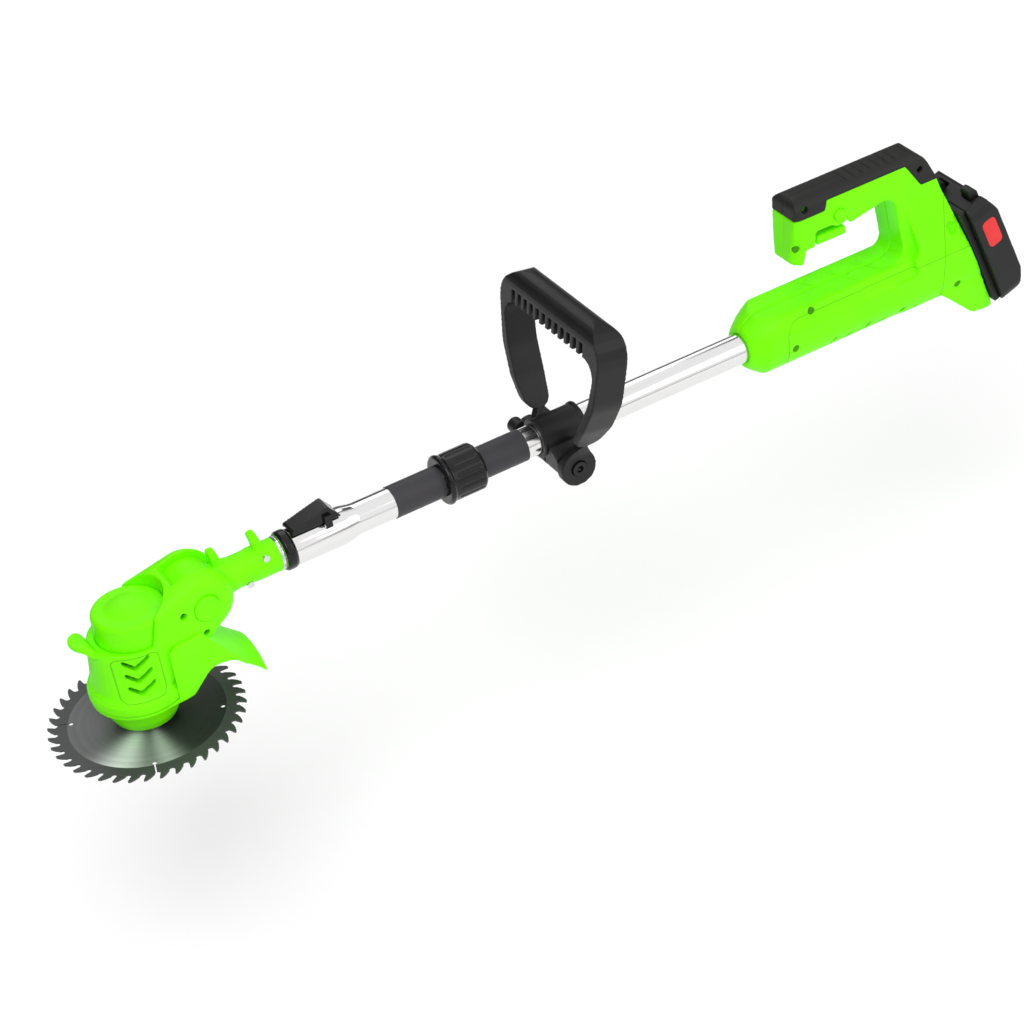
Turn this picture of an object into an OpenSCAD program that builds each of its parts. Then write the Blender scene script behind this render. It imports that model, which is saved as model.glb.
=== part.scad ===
// Cordless long-reach garden trimmer with a round saw blade.
// +X runs along the shaft from the blade head to the battery, +Z is up, and the
// origin is the middle of the rear hand grip. Sizes are in millimetres.

/* [Shaft] */
// Height of the hand grip above the shaft
grip_height = 100; // [90:1:125]
// Outer diameter of the upper and lower tubes
tube_d = 25; // [22:0.5:30]
// Wall of every tube
tube_wall = 1.2; // [1:0.1:1.8]
// Radial gap between parts that slide or turn on each other
running_gap = 0.06; // [0.03:0.01:0.1]
// Bare upper tube between the housing nose and the handle clamp
upper_bare_len = 154; // [120:1:260]
// Telescoping tube held inside the upper tube when it is pushed in
telescope_len = 289; // [260:1:340]
// Bare lower tube between the front sleeve and the socket taper
lower_bare_len = 31; // [20:1:80]

/* [Sleeves and collar] */
// Wall of the soft sleeves on the tubes
sleeve_wall = 0.6; // [0.4:0.1:1.5]
// Length of the sleeve behind the collar nut
rear_sleeve_len = 49; // [40:1:80]
// Length of the sleeve in front of the collar nut
front_sleeve_len = 43; // [30:1:80]
// Length of the collar nut
collar_len = 34; // [30:1:45]
// Diameter across the collar nut's ribs
collar_d = 38.6; // [37:0.2:46]

/* [Neck and socket] */
// Diameter of the flared socket
socket_d = 30; // [29:0.5:38]
// Length of the socket's parallel part
socket_len = 45; // [40:1:70]
// Length of the taper from socket to tube
taper_len = 11.5; // [8:0.5:20]
// Length of the lock ring
ring_len = 9; // [6:0.5:12]
// Diameter of the plastic neck
neck_d = 27; // [25:0.5:27.5]
// From the hinge bolt to the end of the neck
neck_len = 71; // [64:1:100]

/* [Cutting head] */
// From the hinge bolt forward to the blade spindle
hinge_to_spindle = 56; // [54:1:70]
// From the shaft down to the blade
blade_drop = 91; // [89:1:105]
// Blade diameter
blade_d = 152; // [130:1:160]
// Blade thickness
blade_t = 1.6; // [1.2:0.1:2.4]
// Number of teeth
teeth = 40; // [24:2:48]
// Spindle diameter
spindle_d = 8; // [6:0.5:8.5]
// Radius of the motor cap
cap_r = 28.5; // [27:0.5:31]
// Radius of the head's lower ring
ring_r = 38.5; // [37:0.5:42]
// Radius of the hinge lobe
lobe_r = 27; // [26:0.5:29]
// Width over the two hinge cheeks
lobe_w = 52; // [48:1:60]
// How far the guard reaches behind the spindle
guard_reach = 92; // [86:1:100]

/* [Loop handle] */
// Width of the clamp along the tube
clamp_w = 40; // [34:1:50]
// Lean of the loop handle towards the battery, in degrees
loop_lean = 9; // [0:1:20]
// From the pivot bolt to the middle of the grip bar
loop_h = 124; // [110:1:150]
// Half width between the arms at the grip bar
loop_half_w = 66; // [55:1:80]
// Width of the strap that forms the arms
strap_w = 27; // [22:1:32]
// Thickness of the strap
strap_t = 8; // [6:0.5:10]
// Diameter of the pivot bolt
pivot_d = 6; // [5:0.5:7]

/* [Rear housing] */
// From the middle of the hand grip forward to the housing nose
nose_reach = 106; // [100:1:125]
// Radius of the round underside of the housing
barrel_r = 26.5; // [25:0.5:30]
// Half width of the hand grip
grip_half_w = 17; // [16:0.5:20]
// Lean of the battery plate, in degrees
plate_lean = 19; // [15:1:22]

/* [Battery] */
// Half width of the battery
pack_half_w = 35; // [34.5:0.5:40]
// Length of the battery along its rails
pack_len = 101; // [101:1:120]
// Thickness of the battery
pack_t = 31; // [30:1:38]

/* [Hidden] */
$fn = 64;
shaft_z = -grip_height;
tube_r = tube_d / 2;
tube_bore_r = tube_r - tube_wall;
inner_r = tube_bore_r - running_gap;
inner_bore_r = inner_r - tube_wall;
sleeve_r = tube_r + sleeve_wall;
part_gap = 0.3;

// Stations along the shaft, from the housing to the head
nose_x = -nose_reach;
tube_seat = 60;
clamp_rear_x = nose_x - upper_bare_len;
clamp_x = clamp_rear_x - clamp_w / 2;
clamp_front_x = clamp_rear_x - clamp_w;
clamp_gap = 12;
sleeve_rear_x = clamp_front_x - clamp_gap;
upper_front_x = sleeve_rear_x - rear_sleeve_len;
collar_overlap = 9;
collar_rear_x = upper_front_x + collar_overlap;
collar_front_x = collar_rear_x - collar_len;
front_sleeve_rear_x = collar_front_x - 0.5;
front_sleeve_front_x = front_sleeve_rear_x - front_sleeve_len;
taper_rear_x = front_sleeve_front_x - lower_bare_len;
socket_rear_x = taper_rear_x - taper_len;
socket_front_x = socket_rear_x - socket_len;
ring_front_x = socket_front_x - ring_len;
detent_len = 3.5;
neck_end_x = ring_front_x - detent_len;
hinge_x = neck_end_x - neck_len;
head_x = hinge_x - hinge_to_spindle;
blade_z = shaft_z - blade_drop;

// Heights on the head, tied to the shaft line above and the blade below
rim_z = shaft_z - 10;
cap_top_z = shaft_z + 11;
ring_top_z = blade_z + 43;
ring_low_z = blade_z + 29;
skirt_z = blade_z + 3.5;
motor_r = 19;
motor_low_z = ring_low_z + 14;
motor_top_z = rim_z + 8;
spindle_r = spindle_d / 2;
flange_r = 14;
cap_shift = 5;
cheek_slot = neck_d / 2 + part_gap;
knuckle_r = lobe_r - 4.5;

// Loop handle
pivot_z = shaft_z - tube_r - pivot_d / 2 - 5.5;
ear_half_w = 21.7;
pivot_disc_r = 15.5;
pivot_r = pivot_d / 2;

// Rear housing
plate_x = 81.5;
plate_z = -7.5;
barrel_top = barrel_r + 0.5;
trigger_front_w = 12;
trigger_x0 = -46;
trigger_x1 = -7.6;
trigger_z0 = -25.5;
trigger_z1 = -18.5;
lock_x = -14;
lock_z = -5;
lock_r = 5;
pack_top = -41;
pack_low = pack_top - pack_len;

// Points of a rounded outline: each entry is [x, y, corner radius]
function flat(p) = [p[0], p[1]];
function unit(v) = v / norm(v);
function arc(c, r, a0, a1, n = 8) = [for (i = [0:n])
    c + r * [cos(a0 + (a1 - a0) * i / n), sin(a0 + (a1 - a0) * i / n)]];
function corner(p, v, q, r) =
    let (a = unit(p - v), b = unit(q - v), half = acos(a * b) / 2)
    let (c = v + unit(a + b) * r / sin(half), s = v + a * r / tan(half) - c, e = v + b * r / tan(half) - c)
    let (a0 = atan2(s[1], s[0]), turn = (atan2(e[1], e[0]) - a0 + 540) % 360 - 180)
    arc(c, r, a0, a0 + turn, 6);
function rounded(pts) = let (n = len(pts)) [
    for (i = [0:n - 1]) each pts[i][2] > 0
        ? corner(flat(pts[(i + n - 1) % n]), flat(pts[i]), flat(pts[(i + 1) % n]), pts[i][2])
        : [flat(pts[i])]
];

// Bars and prisms along one axis
module x_cyl(x0, x1, r) translate([x0, 0, shaft_z]) rotate([0, 90, 0]) cylinder(h = x1 - x0, r = r);
module x_tube(x0, x1, ro, ri) difference() {
    x_cyl(x0, x1, ro);
    x_cyl(x0 - 1, x1 + 1, ri);
}
module y_cyl(x, z, y0, y1, r) translate([x, y0, z]) rotate([-90, 0, 0]) cylinder(h = y1 - y0, r = r);
module side_prism(pts, y0, y1) translate([0, y1, 0]) rotate([90, 0, 0]) linear_extrude(y1 - y0) polygon(pts);
module cross_prism(pts, x0, x1) translate([x0, 0, 0]) rotate([90, 0, 90]) linear_extrude(x1 - x0) polygon(pts);
module box(x0, x1, y0, y1, z0, z1) translate([x0, y0, z0]) cube([x1 - x0, y1 - y0, z1 - z0]);
module left_half() intersection() {
    children();
    box(-900, 300, 0, 120, -300, 100);
}
module right_half() intersection() {
    children();
    box(-900, 300, -120, 0, -300, 100);
}
module turned(pts, x0) translate([x0, 0, shaft_z]) rotate([0, 90, 0]) rotate_extrude() polygon(pts);
module on_head(z = 0) translate([head_x, 0, z]) children();
module on_plate() translate([plate_x, 0, plate_z]) rotate([0, -plate_lean, 0]) children();

// ---- Shaft ----
module upper_tube() color("silver") x_tube(upper_front_x, nose_x + tube_seat, tube_r, tube_bore_r);

module rear_sleeve() color([0.24, 0.22, 0.25]) x_tube(upper_front_x, sleeve_rear_x, sleeve_r, tube_r);

collet_len = 18;
module collet() color([0.85, 0.85, 0.82]) difference() {
    x_tube(upper_front_x - collet_len, upper_front_x, sleeve_r, inner_r + running_gap);
    // springy fingers
    for (a = [0:60:120]) translate([upper_front_x - collet_len - 1, 0, shaft_z]) rotate([a, 0, 0])
        translate([0, -20, -0.6]) cube([collet_len - 5, 40, 1.2]);
}

nut_bore_r = sleeve_r + running_gap + 0.02;
nut_lip_r = collar_d / 2 + 1.2;
nut_lip_len = 5;
nut_front_wall = 3;
module collar_nut() color([0.2, 0.18, 0.2]) difference() {
    turned([
        [inner_r + part_gap, 0], [nut_lip_r - 1.5, 0], [nut_lip_r, 1.5], [nut_lip_r, nut_lip_len - 1.5],
        [nut_lip_r - 1.5, nut_lip_len], [collar_d / 2, nut_lip_len], [collar_d / 2, collar_len - 2.5],
        [collar_d / 2 - 2.5, collar_len], [nut_bore_r, collar_len], [nut_bore_r, nut_front_wall],
        [inner_r + part_gap, nut_front_wall]
    ], collar_front_x);
    // grooves between the ribs
    for (a = [0:30:330]) translate([collar_front_x + nut_lip_len + 3, 0, shaft_z]) rotate([a, 0, 0])
        translate([0, 0, collar_d / 2 + 0.4]) rotate([0, 90, 0]) cylinder(h = collar_len - nut_lip_len - 7, r = 1.4);
}

module inner_tube() color("silver")
    x_tube(front_sleeve_front_x + 4, upper_front_x + telescope_len, inner_r, inner_bore_r);

module front_sleeve() color([0.24, 0.22, 0.25])
    x_tube(front_sleeve_front_x, front_sleeve_rear_x, sleeve_r, tube_r);

socket_r = socket_d / 2;
socket_bore_r = socket_r - tube_wall;
lower_rear_x = front_sleeve_rear_x - 2;
lever_slot_w = 10;
module lower_tube() color("silver") difference() {
    turned([
        [socket_bore_r, 0], [socket_r, 0], [socket_r, socket_len], [tube_r, socket_len + taper_len],
        [tube_r, lower_rear_x - socket_front_x], [tube_bore_r, lower_rear_x - socket_front_x],
        [tube_bore_r, socket_len + taper_len], [socket_bore_r, socket_len]
    ], socket_front_x);
    // window for the release lever's pawl
    box(lever_x0 + 8, lever_x0 + 16, -lever_slot_w / 2, lever_slot_w / 2, shaft_z + 8, shaft_z + 20);
}

module lock_ring() color([0.07, 0.07, 0.07])
    turned([
        [socket_bore_r, 0], [socket_r - 0.5, 0], [socket_r + 0.8, 1.5], [socket_r + 1, ring_len / 2],
        [socket_r + 0.8, ring_len - 1.5], [socket_r, ring_len - 0.3], [socket_bore_r, ring_len - 0.3]
    ], ring_front_x);

spigot_r = socket_bore_r - running_gap;
module detent_ring() color("silver") difference() {
    turned([
        [spigot_r - 2.5, 0], [socket_bore_r - 0.4, 0], [socket_bore_r + 0.2, 1.2],
        [socket_bore_r - 0.4, detent_len - part_gap], [spigot_r - 2.5, detent_len - part_gap]
    ], neck_end_x);
    for (a = [15:30:345]) translate([neck_end_x + detent_len / 2, 0, shaft_z]) rotate([a, 0, 0])
        translate([0, 0, spigot_r - 1]) cylinder(h = 4, r = 1.1);
}

// The release lever rocks on a pin across the socket's top
lever_len = 43;
lever_x0 = socket_front_x + 0.5;
lever_half_w = 8.5;
lever_pin_x = lever_x0 + 30;
lever_pin_z = shaft_z + socket_r + 3.5;
module release_lever() color([0.1, 0.1, 0.1]) {
    difference() {
        side_prism(rounded([
            [lever_x0, shaft_z + 12, 0], [lever_x0, shaft_z + 17.5, 2], [lever_x0 + 33, shaft_z + 26, 1.5],
            [lever_x0 + lever_len, shaft_z + 13, 1], [lever_x0 + lever_len, shaft_z + 11, 0]
        ]), -lever_half_w, lever_half_w);
        // saddle over the socket, deepest at the front where the lever dips
        x_cyl(lever_x0 - 5, lever_x0 + lever_len + 5, socket_r + 1.3);
        y_cyl(lever_pin_x, lever_pin_z, -20, 20, 1.5 + running_gap);
    }
    // pawl that reaches through the window
    box(lever_x0 + 9.5, lever_x0 + 14.5, -4, 4, shaft_z + socket_bore_r + 0.3, shaft_z + socket_r + 4);
}

module lever_pin() color("silver") {
    y_cyl(lever_pin_x, lever_pin_z, -lever_half_w - 1, lever_half_w + 1, 1.5);
    // posts that hold the pin on the socket
    difference() {
        for (y = [-1, 1]) translate([lever_pin_x, y * (lever_half_w + 1.5), 0])
            box(-3, 3, -1.2, 1.2, shaft_z + 6, lever_pin_z + 2.5);
        x_cyl(lever_pin_x - 5, lever_pin_x + 5, socket_r);
    }
}

module coiled_lead() color([0.15, 0.15, 0.15])
    x_tube(socket_rear_x + 2, upper_front_x + 40, inner_bore_r - 1.5, inner_bore_r - 5);

// ---- Neck ----
fin_h = 15;
module fin(x) difference() {
    side_prism(rounded([
        [x + 3.5, shaft_z + 6, 0], [x + 3.5, shaft_z + neck_d / 2 + 1, 0],
        [x - 0.5, shaft_z + neck_d / 2 + fin_h, 2.5],
        [x - 7, shaft_z + neck_d / 2 + fin_h, 2.5], [x - 4.5, shaft_z + neck_d / 2 + 3, 0], [x - 5.5, shaft_z + 6, 0]
    ]), -3.5, 3.5);
    x_cyl(x - 12, x + 12, neck_d / 2 - 4);
}

neck_screw_spots = [[12, 8], [28, -9], [52, 8]];
module neck_solid() difference() {
    union() {
        x_cyl(hinge_x + 4, neck_end_x, neck_d / 2);
        x_cyl(neck_end_x - 1, socket_front_x + 30, spigot_r);
        y_cyl(hinge_x, shaft_z, -neck_d / 2, neck_d / 2, knuckle_r - 0.5);
        fin(neck_end_x - 13);
        fin(neck_end_x - 47);
    }
    // detent ring groove, wiring bore and hinge bore
    x_tube(neck_end_x, ring_front_x - 0.2, spigot_r + 2, spigot_r - 2.5);
    x_cyl(hinge_x + 12, socket_front_x + 31, 7);
    y_cyl(hinge_x, shaft_z, -30, 30, hinge_r + running_gap);
    neck_screw_holes();
    // shallow band around the middle
    x_tube(neck_end_x - 38, neck_end_x - 22, neck_d / 2 + 3, neck_d / 2 - 0.6);
}
// each screw: distance from the neck's end, height above the shaft line
module neck_screw_holes() for (s = neck_screw_spots) {
    face = sqrt(neck_d * neck_d / 4 - s[1] * s[1]);
    y_cyl(neck_end_x - s[0], shaft_z + s[1], -30, 9, 1.6);
    y_cyl(neck_end_x - s[0], shaft_z + s[1], -30, 0.5 - face, 2.7);
}
module neck_left() color([0.49, 1, 0]) left_half() neck_solid();
module neck_right() color([0.49, 1, 0]) right_half() neck_solid();

module neck_screws() color("silver") for (s = neck_screw_spots) {
    face = sqrt(neck_d * neck_d / 4 - s[1] * s[1]);
    y_cyl(neck_end_x - s[0], shaft_z + s[1], 0.5 - face, 8, 1.5);
    y_cyl(neck_end_x - s[0], shaft_z + s[1], -face - 1.6, 0.5 - face, 2.6);
}

hinge_r = 4;
module hinge_bolt() color("silver") {
    y_cyl(hinge_x, shaft_z, -lobe_w / 2 + 8, lobe_w / 2 - 2.5, hinge_r);
    y_cyl(hinge_x, shaft_z, lobe_w / 2 - 4.5, lobe_w / 2 - 1, 8);
}

// ---- Cutting head ----
button_r = 10.5;
tongue_x = head_x - cap_r - 16.5;
body_low_r = ring_r - 4;
skirt_r = 31;
guard_screw_r = 34.2;
lobe_round = 12;
module lobe() translate([hinge_x, 0, shaft_z]) rotate([90, 0, 0]) rotate_extrude($fn = 40) polygon(concat(
    [[0, -lobe_w / 2]], arc([lobe_r - lobe_round, lobe_round - lobe_w / 2], lobe_round, -90, 0, 5),
    arc([lobe_r - lobe_round, lobe_w / 2 - lobe_round], lobe_round, 0, 90, 5), [[0, lobe_w / 2]]
));
// motor body, cap seat and hinge lobe drawn together in one smooth skin
module head_core() hull() {
    on_head() rotate_extrude($fn = 40) polygon([
        [0, ring_top_z - 2], [body_low_r, ring_top_z - 2], [body_low_r, ring_top_z + 1],
        [cap_r + 2.5, rim_z - 3], [cap_r + 1.5, rim_z], [0, rim_z]
    ]);
    on_head(rim_z - 1) translate([cap_shift, 0, 0]) cylinder(h = cap_h - 4, r = cap_r + 2.2, $fn = 40);
    lobe();
}
module head_solid() {
    on_head() rotate_extrude() polygon([
        [0, skirt_z], [20, skirt_z], [24.5, skirt_z + 2], [28, skirt_z + 9], [skirt_r, ring_low_z],
        [ring_r - 1, ring_low_z], [ring_r, ring_low_z + 1.5], [ring_r, ring_top_z - 5],
        [ring_r - 1.5, ring_top_z - 4],
        [ring_r - 1.5, ring_top_z - 1.5], [body_low_r, ring_top_z], [body_low_r - 3, ring_top_z + 4],
        [0, ring_top_z + 4]
    ]);
    difference() {
        head_core();
        // the front of the cap stands free above the rim
        side_prism([
            [head_x - 60, rim_z], [head_x + 8, rim_z], [head_x + 20, shaft_z + 30], [head_x - 60, shaft_z + 30]
        ], -60, 60);
    }
    // rounded tongue at the front of the rim
    intersection() {
        side_prism(rounded([
            [tongue_x + 25, rim_z - 6, 0], [tongue_x + 14, rim_z - 4, 8], [tongue_x + 6, rim_z + 5, 6],
            [tongue_x, rim_z + 7, 1.5],
            [tongue_x, rim_z + 11, 1.5], [tongue_x + 12, rim_z + 10, 10], [tongue_x + 17, rim_z, 0],
            [tongue_x + 25, rim_z, 0]
        ]), -12, 12);
        translate([tongue_x + 12, 0, -300]) cylinder(h = 300, r = 12);
    }
}

chevron_z = [rim_z - 8, rim_z - 19, rim_z - 30];
module chevron(z) side_prism([
    [head_x - 17, z + 4], [head_x - 9, z - 2], [head_x + 3, z + 5], [head_x + 3, z + 1],
    [head_x - 9, z - 6.5], [head_x - 17, z]
], -60, 60);

module head_shell() difference() {
    head_solid();
    // seat for the cap
    on_head(rim_z - 2) translate([cap_shift, 0, 0]) cylinder(h = 60, r = cap_r + part_gap / 2);
    // motor bay and spindle way
    on_head(motor_low_z) cylinder(h = rim_z - motor_low_z + 1, r = motor_r + 4.5);
    on_head(skirt_z - 1) cylinder(h = 20, r = flange_r + 4);
    on_head(skirt_z) cylinder(h = motor_low_z - skirt_z + 1, r = bearing_r);
    // slot in which the neck swings up
    intersection() {
        box(hinge_x - knuckle_r, hinge_x + 60, -cheek_slot, cheek_slot, shaft_z - lobe_r - 8, shaft_z + 60);
        union() {
            y_cyl(hinge_x, shaft_z, -cheek_slot, cheek_slot, knuckle_r);
            side_prism([
                [hinge_x, shaft_z], [hinge_x - 22, shaft_z + 26], [hinge_x - 10, shaft_z + 60],
                [hinge_x + 60, shaft_z + 60], [hinge_x + 60, shaft_z - 15.5], [hinge_x + 14, shaft_z - 15.5]
            ], -cheek_slot, cheek_slot);
        }
    }
    y_cyl(hinge_x, shaft_z, -60, 60, hinge_r + running_gap);
    y_cyl(hinge_x, shaft_z, lobe_w / 2 - 5, 60, 8 + part_gap);
    // pocket for the angle button and its travel
    y_cyl(hinge_x, shaft_z, -60, -lobe_w / 2 + 7, button_r + running_gap);
    for (z = chevron_z) intersection() {
        chevron(z);
        on_head(rim_z - 50) difference() {
            cylinder(h = 60, r = 60);
            cylinder(h = 60, r = motor_r + 4);
        }
    }
    head_screw_holes(1.7);
    guard_screw_holes(ring_low_z - 1, 8);
}
head_screw_spots = [[-19.5, 2], [-4.5, -20.5]];
module head_screw_holes(r) for (s = head_screw_spots) {
    y_cyl(hinge_x + s[0], shaft_z + s[1], -60, -cheek_slot - 1, r);
    y_cyl(hinge_x + s[0], shaft_z + s[1], -60, -lobe_w / 2 + 5, 2.9);
}
module head_left() color([0.49, 1, 0]) left_half() head_shell();
module head_right() color([0.49, 1, 0]) right_half() head_shell();

module head_screws() color([0.3, 0.3, 0.3]) for (s = head_screw_spots) {
    y_cyl(hinge_x + s[0], shaft_z + s[1], -lobe_w / 2 + 5, -cheek_slot - 1, 1.5);
    y_cyl(hinge_x + s[0], shaft_z + s[1], -lobe_w / 2 + 3, -lobe_w / 2 + 5, 2.7);
}

cap_h = cap_top_z - rim_z;
module motor_cap() color([0.49, 1, 0]) on_head(rim_z - 2) translate([cap_shift, 0, 0]) rotate_extrude()
    polygon(concat(
    [[0, cap_h + 2 - 3], [0, cap_h + 5]], [for (r = [6:6:18]) [r, cap_h + 5 - r * r / 110]],
    arc([cap_r - 4, cap_h - 2], 4, 70, 0), [[cap_r, 0], [cap_r - 2.5, 0], [cap_r - 2.5, cap_h - 2]]
));

// The guard is a trumpet-shaped scoop behind the blade
guard_t = 2.6;
guard_ring_t = 3;
scoop_z = blade_z - 9;
scoop_mouth_r = 37;
guard_low_z = blade_z + 13;
function flare(x) = scoop_mouth_r + 36 * pow(max(0, guard_reach - x) / 34, 1.25);
module scoop(inset) translate([head_x, 0, scoop_z]) rotate([0, 90, 0]) rotate_extrude() polygon(concat(
    [[0, 8], [flare(46) - inset, 8]], [for (x = [46:5:81]) [flare(x) - inset, x]],
    [[scoop_mouth_r - inset, guard_reach + inset], [0, guard_reach + inset]]
));
// plan outline, waisted between the head's ring and the trailing edge
module guard_plan(inset) translate([head_x, 0, scoop_z]) linear_extrude(100) polygon([
    [10, inset - 36], [24, inset - 35], [42, inset - 31.5], [62, inset - 31], [guard_reach + 1, inset - 35],
    [guard_reach + 1, 35 - inset], [62, 31 - inset], [42, 31.5 - inset], [24, 35 - inset], [10, 36 - inset]
]);
module guard_screw_holes(z, h) for (a = [60:60:300]) on_head(z) rotate([0, 0, a])
    translate([guard_screw_r, 0, 0]) cylinder(h = h, r = 1.5);
module blade_guard() color([0.49, 1, 0]) difference() {
    union() {
        difference() {
            intersection() {
                scoop(0);
                guard_plan(0);
            }
            intersection() {
                scoop(guard_t);
                guard_plan(guard_t);
            }
        }
        // mounting ring under the head, widened behind to carry the side walls
        on_head(ring_low_z - guard_ring_t) cylinder(h = guard_ring_t, r = ring_r - 1);
        intersection() {
            guard_plan(0);
            box(head_x + 10, head_x + 40, -60, 60, ring_low_z - guard_ring_t, ring_low_z);
        }
    }
    on_head(ring_low_z - guard_ring_t - 1) cylinder(h = 20, r = skirt_r + part_gap);
    // room for the head above the ring
    on_head(ring_low_z) cylinder(h = 90, r = ring_r + part_gap);
    head_core();
    // lower edge, arched up between the ring and the trailing tips
    side_prism(rounded([
        [head_x + 22, ring_low_z - guard_ring_t, 0], [head_x + 30, ring_low_z - guard_ring_t, 6],
        [head_x + 50, ring_low_z + 13, 14],
        [head_x + 68, ring_low_z + 10, 14], [head_x + guard_reach + 1, guard_low_z, 0],
        [head_x + guard_reach + 1, scoop_z - 20, 0],
        [head_x - 60, scoop_z - 20, 0], [head_x - 60, ring_low_z - guard_ring_t, 0]
    ]), -90, 90);
    guard_screw_holes(ring_low_z - 5, 8);
}

module angle_button() color([0.49, 1, 0]) difference() {
    y_cyl(hinge_x, shaft_z, -lobe_w / 2 - 3, -lobe_w / 2 + 2, button_r);
    y_cyl(hinge_x, shaft_z, -lobe_w / 2 - 4, -lobe_w / 2 - 2.2, button_r - 2);
}

bearing_r = 9;
bearing_t = 7;
module bearing(z) color([0.75, 0.75, 0.78]) on_head(z) difference() {
    cylinder(h = bearing_t, r = bearing_r);
    translate([0, 0, -1]) cylinder(h = bearing_t + 2, r = spindle_r + running_gap);
    for (face = [-1, bearing_t - 0.5]) translate([0, 0, face]) difference() {
        cylinder(h = 1.5, r = bearing_r - 1.5);
        translate([0, 0, -1]) cylinder(h = 4, r = spindle_r + 1.5);
    }
}
module lower_bearing() bearing(motor_low_z - bearing_t - 1);
module upper_bearing() bearing(motor_top_z + 0.5);

rotor_gap = 0.6;
module motor_can() color([0.35, 0.35, 0.37]) on_head(motor_low_z) difference() {
    cylinder(h = motor_top_z - motor_low_z + bearing_t + 2, r = motor_r);
    translate([0, 0, 3]) cylinder(h = motor_top_z - motor_low_z - 3, r = motor_r - 2.5);
    translate([0, 0, -1]) cylinder(h = 100, r = spindle_r + 2);
    translate([0, 0, motor_top_z - motor_low_z - 1]) cylinder(h = 100, r = bearing_r);
}
module motor_rotor() color([0.72, 0.45, 0.2]) on_head(motor_low_z + 5) difference() {
    cylinder(h = motor_top_z - motor_low_z - 8, r = motor_r - 2.5 - rotor_gap);
    translate([0, 0, -1]) cylinder(h = 100, r = spindle_r);
    for (a = [0:30:330]) rotate([0, 0, a]) translate([motor_r - 3.5, 0, -1]) cylinder(h = 100, r = 1.3);
}

flange_t = 5;
nut_h = 6;
hub_z = blade_z + blade_t / 2;
module spindle() color("silver") on_head(blade_z - blade_t / 2 - flange_t - nut_h + 0.5)
    cylinder(h = motor_top_z + bearing_t - (blade_z - blade_t / 2 - flange_t - nut_h), r = spindle_r);

module inner_flange() color([0.6, 0.6, 0.62]) on_head(hub_z) difference() {
    rotate_extrude() polygon([[0, 0], [flange_r, 0], [flange_r, 2.5], [9, 4], [9, 9], [0, 9]]);
    translate([0, 0, -1]) cylinder(h = 20, r = spindle_r);
}

// Ripping teeth: a raked face, a round gullet and a long back that falls away to the next tooth
blade_r = blade_d / 2;
tooth_scale = PI * blade_d / teeth / 11.9;
slot_depth = 18;
gullet_points = [
    [2, -0.5], [-5.2, 1.3], [-6, -0.9], [-5.5, -3.3], [-2.6, -6.6], [-0.9, -9.6], [0.3, -11.7], [2, -11.9]
];
module gullet() translate([blade_r, 0]) scale(tooth_scale) {
    polygon(gullet_points);
    translate([-5.6, -0.9]) circle(r = 2.3, $fn = 24);
}
// gullets that lead into an expansion slot, as shares of the way round
slot_teeth = [for (f = [0.175, 0.425, 0.7, 0.925]) round(teeth * f)];
module saw_blade() color([0.32, 0.32, 0.34]) on_head(blade_z - blade_t / 2) difference() {
    linear_extrude(blade_t) difference() {
        circle(r = blade_r, $fn = 160);
        for (i = [0:teeth - 1]) rotate(i * 360 / teeth) gullet();
        // expansion slots with round ends
        for (i = slot_teeth) rotate(i * 360 / teeth) translate([0, -1.7 * tooth_scale]) {
            translate([blade_r - slot_depth, -0.5]) square([slot_depth, 1]);
            translate([blade_r - slot_depth, 0]) circle(r = 1.8, $fn = 24);
        }
    }
    translate([0, 0, -1]) cylinder(h = blade_t + 2, r = spindle_r);
    // the disc is ground thinner inside the toothed rim
    for (z = [-1, blade_t - 0.2]) translate([0, 0, z]) difference() {
        cylinder(h = 1.2, r = blade_d * 0.4);
        translate([0, 0, -1]) cylinder(h = 4, r = flange_r);
    }
}

module outer_flange() color([0.6, 0.6, 0.62]) on_head(blade_z - blade_t / 2 - flange_t) difference() {
    rotate_extrude() polygon([[0, 0], [flange_r - 4, 0], [flange_r, 2], [flange_r, flange_t], [0, flange_t]]);
    translate([0, 0, -1]) cylinder(h = 20, r = spindle_r);
}
module blade_nut() color("silver") on_head(blade_z - blade_t / 2 - flange_t - nut_h) difference() {
    cylinder(h = nut_h, r = 7.5, $fn = 6);
    translate([0, 0, -1]) cylinder(h = 20, r = spindle_r);
}

// ---- Clamp and loop handle ----
clamp_bore_r = tube_r + running_gap;
clamp_outer_r = tube_r + 2.9;
ear_r = 13.5;
ear_low_z = pivot_z - ear_r;
slit = 1.5;
module clamp_solid() difference() {
    union() {
        x_cyl(clamp_front_x, clamp_rear_x, clamp_outer_r);
        intersection() {
            side_prism(concat(arc([clamp_x, pivot_z], ear_r, 180, 360, 16), [
                [clamp_x + ear_r + 2, shaft_z], [clamp_x - ear_r - 2, shaft_z]
            ]), -ear_half_w, ear_half_w);
            cross_prism(rounded([
                [-ear_half_w, ear_low_z, 3], [ear_half_w, ear_low_z, 3], [ear_half_w, pivot_z + 10, 4],
                [clamp_outer_r - 1, shaft_z - 2, 0], [1 - clamp_outer_r, shaft_z - 2, 0],
                [-ear_half_w, pivot_z + 10, 4]
            ]), clamp_x - 20, clamp_x + 20);
        }
        // raised lip at each end
        for (x = [clamp_front_x, clamp_rear_x - 2.5]) x_cyl(x, x + 2.5, clamp_outer_r + 1);
    }
    x_cyl(clamp_front_x - 1, clamp_rear_x + 1, clamp_bore_r);
    y_cyl(clamp_x, pivot_z, -60, 60, pivot_r + running_gap);
    box(clamp_front_x - 1, clamp_rear_x + 1, -slit, slit, ear_low_z - 1, shaft_z - tube_r + 1);
}
module clamp_left() color([0.09, 0.09, 0.09]) left_half() clamp_solid();
module clamp_right() color([0.09, 0.09, 0.09]) right_half() clamp_solid();

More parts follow.
